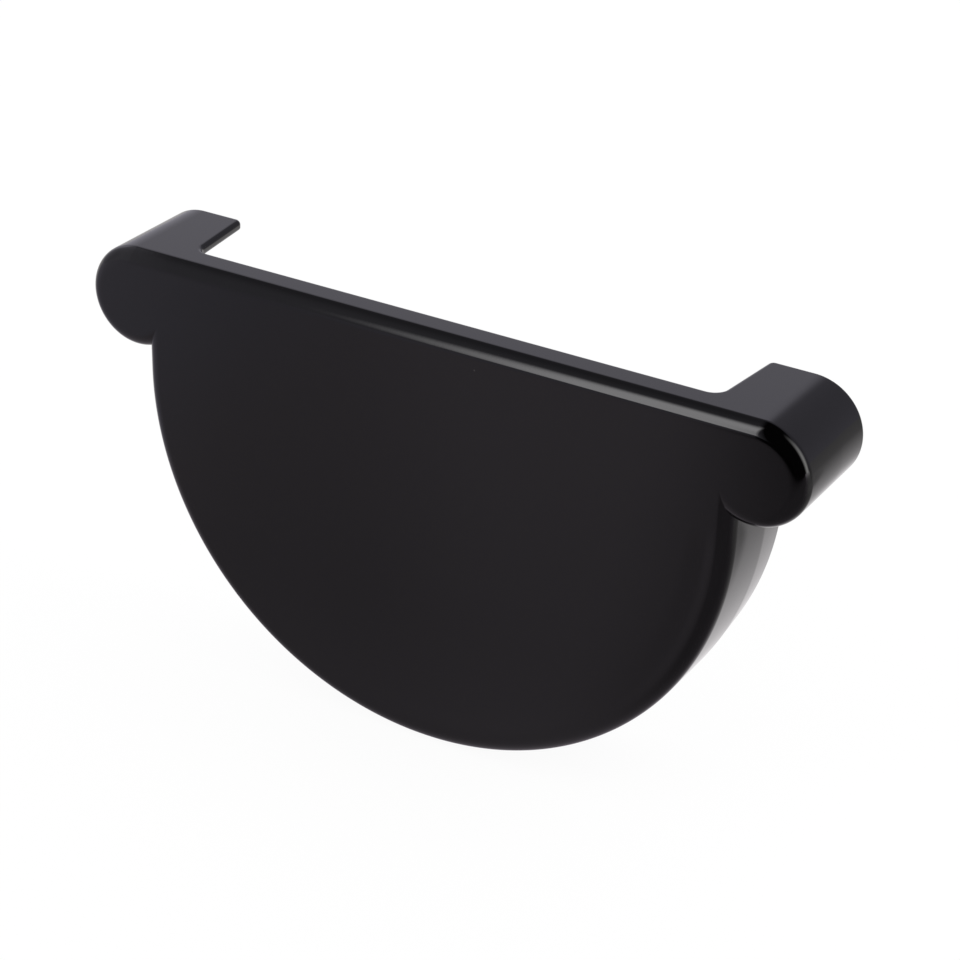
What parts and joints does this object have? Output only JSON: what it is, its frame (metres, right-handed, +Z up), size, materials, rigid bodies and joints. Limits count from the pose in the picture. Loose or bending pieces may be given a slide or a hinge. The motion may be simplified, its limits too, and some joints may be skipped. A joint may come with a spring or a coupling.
{
  "type": "gutter end cap",
  "caption": "Half-round gutter end cap with a flat plate, a rounded front rim, a tapered push-on skirt and a hooked bead socket at each end of the top edge; it closes the open end of a rain gutter.",
  "frame": {"origin": "on the axis of the half round, on the inside face of the end plate, where the gutter's end stops", "axes": "+X across the gutter from bead to bead, +Y from the plate along the gutter, +Z up"},
  "size_m": [0.1596, 0.0258, 0.0914],
  "materials": {
    "black_plastic": "moulded gloss black"
  },
  "bodies": {
    "root": {"end_cap": "black_plastic"}
  },
  "joints": []
}
